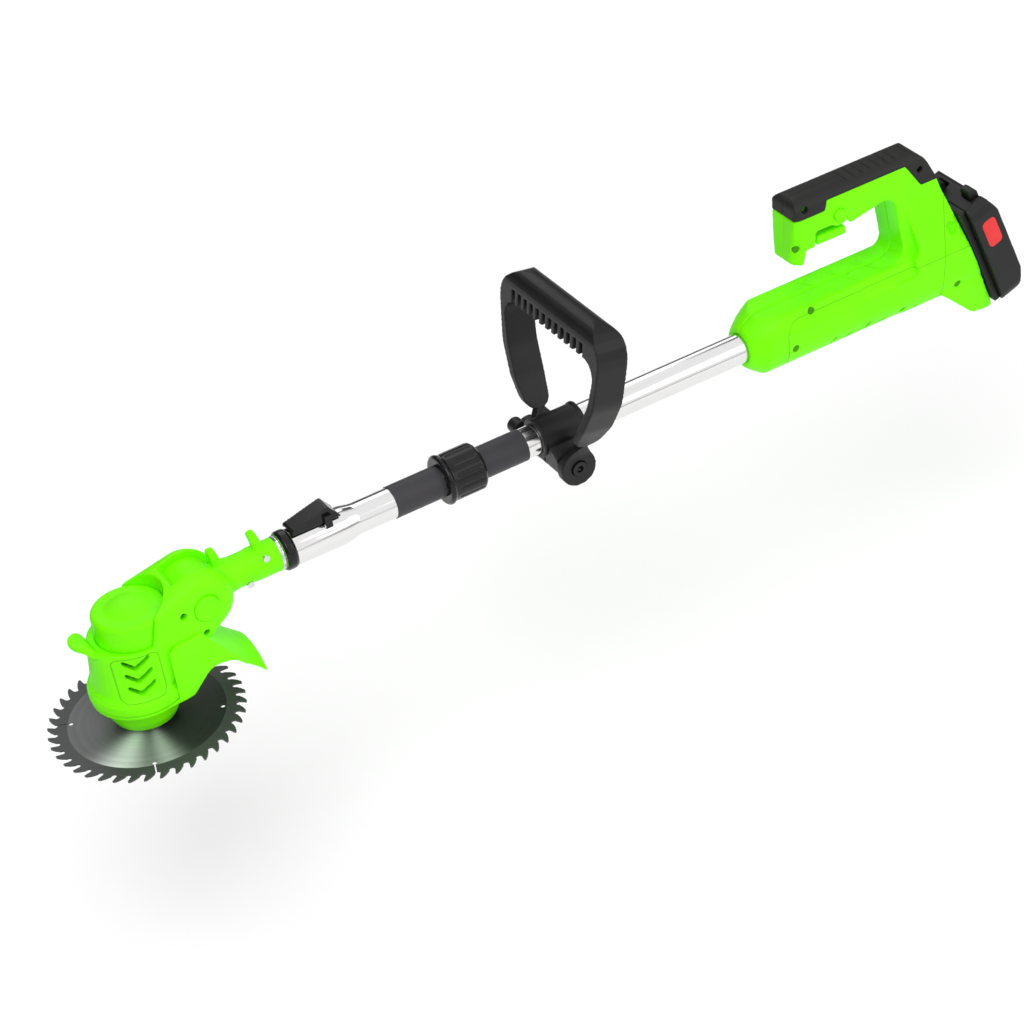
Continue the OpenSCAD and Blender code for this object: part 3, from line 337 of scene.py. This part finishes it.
def node_copy(name, node):
    """A merged copy of a CAD node's mesh."""
    mesh = NODES[node].data.copy()
    mesh.materials.clear()
    obj = bpy.data.objects.new(name, mesh)
    bpy.context.scene.collection.objects.link(obj)
    pick(obj)
    bpy.ops.object.mode_set(mode="EDIT")
    bpy.ops.mesh.select_all(action="SELECT")
    bpy.ops.mesh.remove_doubles(threshold=MERGE_GAP)
    bpy.ops.mesh.normals_make_consistent(inside=False)
    bpy.ops.object.mode_set(mode="OBJECT")
    return obj


def smooth_all(obj):
    pick(obj)
    bpy.ops.object.shade_smooth()


def moulded(name, node, body, material, voxel, passes):
    """The CAD shape with the soft edges of a moulding."""
    obj = node_copy(name, node)
    apply(obj, "REMESH", mode="VOXEL", voxel_size=voxel, adaptivity=0.0)
    apply(obj, "SMOOTH", factor=0.5, iterations=passes)
    smooth_all(obj)
    obj.data.materials.append(material)
    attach(obj, body)
    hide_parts(node)
    return obj


def turned(name, node, body, material):
    """The CAD shape with its round faces shaded smooth."""
    obj = node_copy(name, node)
    bpy.ops.object.shade_smooth_by_angle(angle=SMOOTH_ANGLE)
    obj.data.materials.append(material)
    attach(obj, body)
    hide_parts(node)
    return obj


# ---- Settings ----
class TrimmerColours(bpy.types.PropertyGroup):
    shell: bpy.props.FloatVectorProperty(
        name="Shell", description="Colour of the moulded shells", subtype="COLOR",
        size=3, min=0.0, max=1.0, default=(0.19, 1.0, 0.0))
    black: bpy.props.FloatVectorProperty(
        name="Black plastic", description="Colour of the handle, clamp and battery", subtype="COLOR",
        size=3, min=0.0, max=1.0, default=(0.007, 0.0068, 0.007))
    pad: bpy.props.FloatVectorProperty(
        name="Grip pad", description="Colour of the soft grip", subtype="COLOR",
        size=3, min=0.0, max=1.0, default=(0.012, 0.0115, 0.011))
    sleeve: bpy.props.FloatVectorProperty(
        name="Sleeve", description="Colour of the shaft sleeves", subtype="COLOR",
        size=3, min=0.0, max=1.0, default=(0.034, 0.032, 0.037))
    plating: bpy.props.FloatVectorProperty(
        name="Plating", description="Colour of the plated tubes", subtype="COLOR",
        size=3, min=0.0, max=1.0, default=(0.82, 0.81, 0.81))
    label: bpy.props.FloatVectorProperty(
        name="Label", description="Colour of the battery's label", subtype="COLOR",
        size=3, min=0.0, max=1.0, default=(0.72, 0.03, 0.03))


class TrimmerShapes(bpy.types.PropertyGroup):
    shell_voxel: bpy.props.FloatProperty(
        name="Shell detail", description="Size of the cells that round the large shells",
        default=0.0011, min=0.0005, max=0.003, unit="LENGTH")
    small_voxel: bpy.props.FloatProperty(
        name="Fine detail", description="Size of the cells that round the small mouldings",
        default=0.0007, min=0.0004, max=0.003, unit="LENGTH")
    softness: bpy.props.IntProperty(
        name="Edge softness", description="Smoothing passes over moulded edges", default=4, min=0, max=20)


class TrimmerStage(bpy.types.PropertyGroup):
    eye: bpy.props.FloatVectorProperty(
        name="Camera place", description="Where the camera stands", subtype="TRANSLATION", unit="LENGTH",
        size=3, default=(-1.17124, -1.72647, 1.21845))
    lens: bpy.props.FloatProperty(
        name="Lens", description="Focal length in millimetres", default=105.6, min=20.0, max=300.0)
    sky: bpy.props.FloatProperty(
        name="Sky", description="Strength of the soft light from all round", default=1.02, min=0.0, max=5.0)
    lamps: bpy.props.FloatProperty(
        name="Lamps", description="Strength of the three lamps", default=0.62, min=0.0, max=5.0)
    floor_drop: bpy.props.FloatProperty(
        name="Floor height", description="Height of the floor under the grip",
        default=-0.45, min=-2.0, max=0.0, unit="LENGTH")


def colours():
    return bpy.context.scene.trimmer_colours


def shapes():
    return bpy.context.scene.trimmer_shapes


# ---- Operators ----
class TRIMMER_OT_shells(bpy.types.Operator):
    """Model the green mouldings of the head, neck and rear housing"""
    bl_idname = "trimmer.shells"
    bl_label = "Green shells"

    def execute(self, context):
        green = colours().shell
        plain = shell_plastic("green moulded plastic", green)
        housing = shell_plastic("green housing plastic", green, [HOUSING_PANEL], [HOUSING_SEAM])
        low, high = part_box("motor_rotor")
        hub = (low[0] + high[0]) / 2
        panel = ((hub - HEAD_PANEL_BACK, SHAFT_Z - HEAD_PANEL_FOOT),
                 (hub + HEAD_PANEL_FRONT, SHAFT_Z - HEAD_PANEL_TOP), HEAD_PANEL_CORNER)
        head = shell_plastic("green head plastic", green, [panel])
        big, fine, soft = shapes().shell_voxel, shapes().small_voxel, shapes().softness
        for name, node, body, voxel, mat in (
                ("left_housing_shell", "housing_left", "handle", big, housing),
                ("right_housing_shell", "housing_right", "handle", big, housing),
                ("left_head_shell", "head_left", "head", fine, head),
                ("right_head_shell", "head_right", "head", fine, head),
                ("domed_motor_cap", "motor_cap", "head", fine, plain),
                ("scoop_guard", "blade_guard", "head", fine, plain),
                ("left_neck_shell", "neck_left", "neck", fine, plain),
                ("right_neck_shell", "neck_right", "neck", fine, plain),
                ("tilt_button", "angle_button", "angle_button", fine, plain),
                ("trigger_lever", "trigger", "trigger", fine, plain),
                ("lock_off_button", "lock_button", "lock_button", fine, plain)):
            moulded(name, node, body, mat, voxel, soft)
        return {"FINISHED"}


class TRIMMER_OT_dark_parts(bpy.types.Operator):
    """Model the black handle, clamp, lever, grip pads and battery"""
    bl_idname = "trimmer.dark_parts"
    bl_label = "Black parts"

    def execute(self, context):
        black = grained_plastic("black moulded plastic", colours().black, 0.42, 1400.0, 0.12)
        pad = grained_plastic("soft black grip", colours().pad, 0.55, 1100.0, 0.2)
        gloss = grained_plastic("glossy black plastic", colours().black, 0.18, 900.0, 0.03)
        fine = shapes().small_voxel
        for name, node, body, slot, mat in (
                ("arched_loop_handle", "loop_handle", "loop_handle", "black_plastic", black),
                ("left_clamp_shell", "clamp_left", "clamp", "black_plastic", black),
                ("right_clamp_shell", "clamp_right", "clamp", "black_plastic", black),
                ("lobed_wing_knob", "wing_knob", "wing_knob", "black_plastic", black),
                ("wedge_release_lever", "release_lever", "release_lever", "black_plastic", gloss),
                ("left_grip_pad", "grip_pad_left", "handle", "soft_grip", pad),
                ("right_grip_pad", "grip_pad_right", "handle", "soft_grip", pad),
                ("battery_tray", "battery_base", "battery", "black_plastic", black),
                ("battery_lid", "battery_cover", "battery", "black_plastic", black),
                ("battery_catch", "battery_latch", "battery_latch", "black_plastic", black),
                ("ribbed_collar_nut", "collar_nut", "collar", "black_gloss", gloss)):
            moulded(name, node, body, mat, fine, DARK_PASSES)
        turned("swivel_lock_ring", "lock_ring", "lower_shaft", gloss)
        turned("socket_head_bolt", "pivot_bolt", "clamp", gloss)
        for node in ("power_switch", "battery_rail"):
            assign(node, black)
        sleeve = grained_plastic("satin sleeve", colours().sleeve, 0.45, 2000.0, 0.05)
        turned("rear_shaft_sleeve", "rear_sleeve", "handle", sleeve)
        turned("front_shaft_sleeve", "front_sleeve", "lower_shaft", sleeve)
        assign("lever_pin", gloss)
        lead = grained_plastic("lead rubber", (0.02, 0.02, 0.02), 0.6, 800.0, 0.1)
        for node in ("coiled_lead", "handle_lead"):
            assign(node, lead)
        return {"FINISHED"}


class TRIMMER_OT_metal(bpy.types.Operator):
    """Finish the tubes, fixings, motor and blade"""
    bl_idname = "trimmer.metal"
    bl_label = "Metal parts"

    def execute(self, context):
        chrome = plated_tube("plated tube", colours().plating, 0.08)
        turned("plated_upper_tube", "upper_tube", "handle", chrome)
        turned("plated_inner_tube", "inner_tube", "lower_shaft", chrome)
        turned("flared_socket_tube", "lower_tube", "lower_shaft", chrome)
        zinc = turned_steel("zinc fixings", (0.75, 0.75, 0.74), 0.22)
        for node in ("spindle", "blade_nut", "trigger_pin", "upper_bearing", "lower_bearing"):
            assign(node, zinc)
        turned("dimpled_detent_ring", "detent_ring", "neck", zinc)
        turned("neck_machine_screws", "neck_screws", "neck", zinc)
        turned("hinge_pin_bolt", "hinge_bolt", "head", zinc)
        turned("blade_backing_flange", "inner_flange", "blade", zinc)
        turned("blade_washer_flange", "outer_flange", "blade", zinc)
        dark = turned_steel("dark steel", (0.12, 0.12, 0.12), 0.35)
        assign("motor_can", dark)
        # the screw heads get the shell green darkened to 0.3: painted shade of the recesses they sit in,
        # not the screws' own colour
        painted_recess_shade = shell_plastic("screw heads in painted recess shade", tuple(c * 0.3 for c in colours().shell))
        for node in ("head_screws", "housing_screws"):
            assign(node, painted_recess_shade)
        assign("motor_rotor", turned_steel("copper windings", (0.7, 0.35, 0.15), 0.35))
        assign("terminal_block", turned_steel("contact brass", (0.8, 0.6, 0.25), 0.25))
        assign("collet", grained_plastic("natural nylon", (0.75, 0.74, 0.7), 0.5, 700.0, 0.05))
        assign("battery_cells", grained_plastic("cell wrap", (0.08, 0.25, 0.55), 0.3, 300.0, 0.05))
        assign("battery_label", grained_plastic("label film", colours().label, 0.35, 900.0, 0.02))
        low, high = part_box("saw_blade")
        centre = tuple((a + b) / 2 for a, b in zip(low, high))
        rim = (high[0] - low[0]) * GROUND_SHARE
        assign("saw_blade", blade_steel("ground blade steel", (0.5, 0.5, 0.52), centre, rim))
        return {"FINISHED"}


class TRIMMER_OT_stage(bpy.types.Operator):
    """Set up the floor, lights and camera"""
    bl_idname = "trimmer.stage"
    bl_label = "Stage"

    def execute(self, context):
        stage = context.scene.trimmer_stage
        cam = bpy.data.cameras.new("camera")
        cam.lens = stage.lens
        cam.sensor_width = SENSOR_WIDTH
        cam.clip_end = CAMERA_REACH
        obj = bpy.data.objects.new("camera", cam)
        context.scene.collection.objects.link(obj)
        obj.matrix_world = Matrix.Translation(Vector(stage.eye)) @ Matrix(CAMERA_TURN).to_4x4()
        context.scene.camera = obj

        bpy.ops.mesh.primitive_plane_add(size=FLOOR_SIZE, location=(0, 0, stage.floor_drop))
        floor = context.active_object
        floor.name = "floor"
        mat = Material("pale floor")
        pale = mat.mix(mat.noise(3.0), (0.96, 0.96, 0.96, 1), (0.98, 0.98, 0.98, 1))
        mat.set(Base_Color=pale, Roughness=0.9)
        floor.data.materials.append(mat.data)

        context.scene.view_settings.view_transform = "Standard"
        world = bpy.data.worlds.new("studio")
        context.scene.world = world
        world.use_nodes = True
        tree = world.node_tree
        direction = tree.nodes.new("ShaderNodeTexCoord")
        split = tree.nodes.new("ShaderNodeSeparateXYZ")
        ramp = tree.nodes.new("ShaderNodeValToRGB")
        tree.links.new(direction.outputs["Generated"], split.inputs[0])
        # the studio is dark low down on the far side, and light above and in front
        behind = tree.nodes.new("ShaderNodeMath")
        behind.operation = "MULTIPLY_ADD"
        tree.links.new(split.outputs["Y"], behind.inputs[0])
        behind.inputs[1].default_value = SKY_SLANT
        tree.links.new(split.outputs["Z"], behind.inputs[2])
        tree.links.new(behind.outputs[0], ramp.inputs["Fac"])
        marks = ramp.color_ramp.elements
        marks[0].position, marks[1].position = SKY_STOPS[0][0], SKY_STOPS[-1][0]
        for place, _ in SKY_STOPS[1:-1]:
            marks.new(place)
        for mark, (_, level) in zip(marks, SKY_STOPS):
            mark.color = (level, level, level, 1.0)
        back = tree.nodes["Background"]
        tree.links.new(ramp.outputs["Color"], back.inputs["Color"])
        back.inputs["Strength"].default_value = stage.sky
        for name, place, power, size in LAMPS:
            lamp = bpy.data.lights.new(name, "AREA")
            lamp.energy = power * stage.lamps
            lamp.size = size
            light = bpy.data.objects.new(name, lamp)
            light.location = place
            aim = Vector(LAMP_AIM) - Vector(place)
            light.rotation_euler = aim.to_track_quat("-Z", "Y").to_euler()
            context.scene.collection.objects.link(light)
        return {"FINISHED"}


class TRIMMER_PT_panel(bpy.types.Panel):
    bl_label = "Trimmer"
    bl_idname = "TRIMMER_PT_panel"
    bl_space_type = "VIEW_3D"
    bl_region_type = "UI"
    bl_category = "Trimmer"

    def draw(self, context):
        layout = self.layout
        for group in (colours(), shapes(), context.scene.trimmer_stage):
            box = layout.box()
            for key in group.__annotations__:
                box.prop(group, key)
        for cls in OPERATORS:
            layout.operator(cls.bl_idname)


OPERATORS = (TRIMMER_OT_stage, TRIMMER_OT_shells, TRIMMER_OT_dark_parts, TRIMMER_OT_metal)
CLASSES = (TrimmerColours, TrimmerShapes, TrimmerStage) + OPERATORS + (TRIMMER_PT_panel,)


def register():
    for cls in CLASSES:
        bpy.utils.register_class(cls)
    bpy.types.Scene.trimmer_colours = bpy.props.PointerProperty(type=TrimmerColours)
    bpy.types.Scene.trimmer_shapes = bpy.props.PointerProperty(type=TrimmerShapes)
    bpy.types.Scene.trimmer_stage = bpy.props.PointerProperty(type=TrimmerStage)


def unregister():
    del bpy.types.Scene.trimmer_stage
    del bpy.types.Scene.trimmer_shapes
    del bpy.types.Scene.trimmer_colours
    for cls in reversed(CLASSES):
        bpy.utils.unregister_class(cls)


def main():
    register()
    bpy.ops.object.select_all(action="DESELECT")
    for cls in OPERATORS:
        group, name = cls.bl_idname.split(".")
        if getattr(getattr(bpy.ops, group), name)() != {"FINISHED"}:
            raise RuntimeError(cls.bl_idname + " did not finish")


if __name__ == "__main__":
    main()
